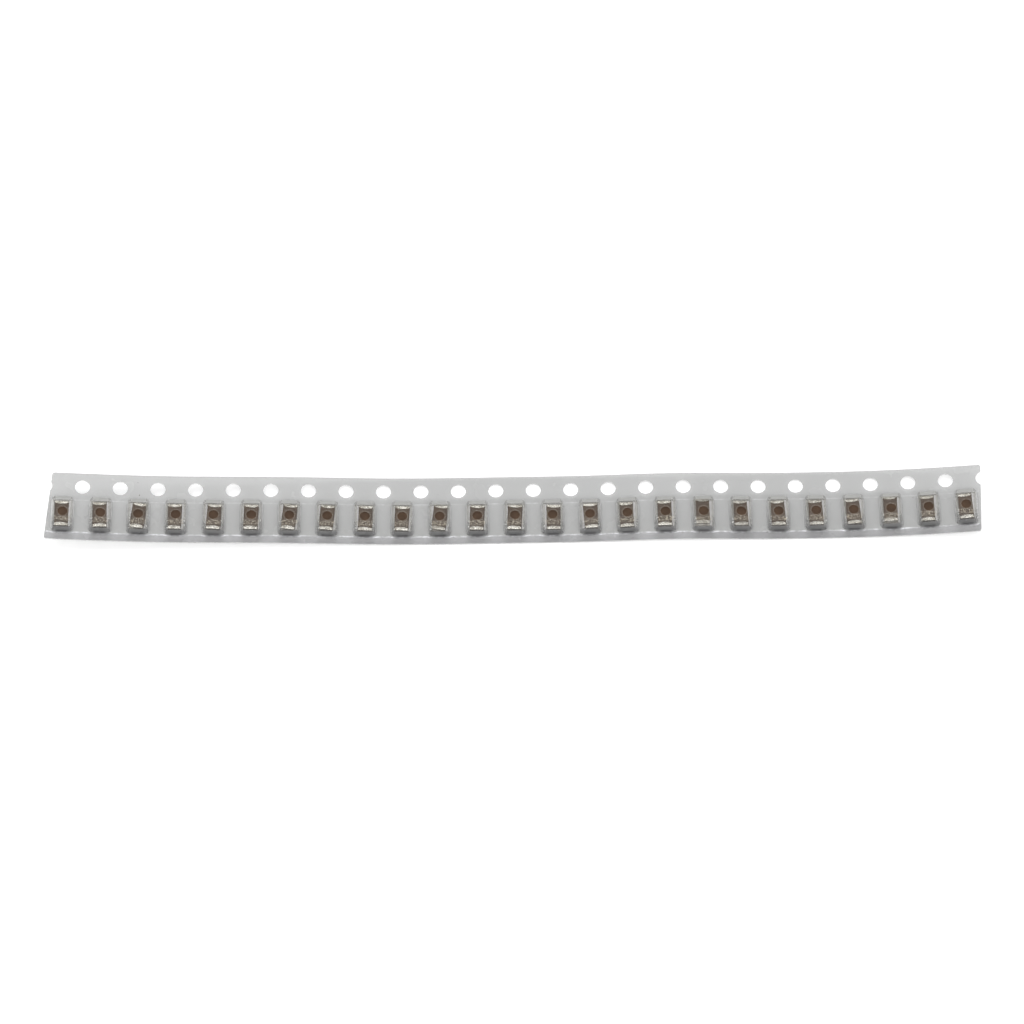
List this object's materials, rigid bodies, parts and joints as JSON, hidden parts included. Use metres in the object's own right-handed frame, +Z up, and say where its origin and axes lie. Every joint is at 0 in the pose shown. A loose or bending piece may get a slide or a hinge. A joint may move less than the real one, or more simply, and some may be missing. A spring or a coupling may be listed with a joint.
{
  "type": "cut carrier tape strip with chip capacitors",
  "caption": "Cut strip of clear embossed carrier tape: a row of chip capacitors sealed in drawn pockets under a cover film, with round sprocket holes along one edge.",
  "frame": {"origin": "under the middle of the strip, on the surface that it lies on", "axes": "+X along the tape, +Y across it from the pockets towards the sprocket holes, +Z up out of the pockets' floors"},
  "size_m": [0.0994, 0.008, 0.0039],
  "materials": {
    "carrier_plastic": "clear thermoformed sheet with a slight grey haze",
    "cover_plastic": "clear thin film",
    "ceramic": "fired brown dielectric, satin",
    "tin": "matt tin plating"
  },
  "bodies": {
    "root": {"carrier_tape": "carrier_plastic", "cover_film": "cover_plastic", "chip_01_body": "ceramic", "chip_02_body": "ceramic", "chip_03_body": "ceramic", "chip_04_body": "ceramic", "chip_05_body": "ceramic", "chip_06_body": "ceramic", "chip_07_body": "ceramic", "chip_08_body": "ceramic", "chip_09_body": "ceramic", "chip_10_body": "ceramic", "chip_11_body": "ceramic", "chip_12_body": "ceramic", "chip_13_body": "ceramic", "chip_14_body": "ceramic", "chip_15_body": "ceramic", "chip_16_body": "ceramic", "chip_17_body": "ceramic", "chip_18_body": "ceramic", "chip_19_body": "ceramic", "chip_20_body": "ceramic", "chip_21_body": "ceramic", "chip_22_body": "ceramic", "chip_23_body": "ceramic", "chip_24_body": "ceramic", "chip_25_body": "ceramic", "chip_01_terminals": "tin", "chip_02_terminals": "tin", "chip_03_terminals": "tin", "chip_04_terminals": "tin", "chip_05_terminals": "tin", "chip_06_terminals": "tin", "chip_07_terminals": "tin", "chip_08_terminals": "tin", "chip_09_terminals": "tin", "chip_10_terminals": "tin", "chip_11_terminals": "tin", "chip_12_terminals": "tin", "chip_13_terminals": "tin", "chip_14_terminals": "tin", "chip_15_terminals": "tin", "chip_16_terminals": "tin", "chip_17_terminals": "tin", "chip_18_terminals": "tin", "chip_19_terminals": "tin", "chip_20_terminals": "tin", "chip_21_terminals": "tin", "chip_22_terminals": "tin", "chip_23_terminals": "tin", "chip_24_terminals": "tin", "chip_25_terminals": "tin"}
  },
  "joints": []
}
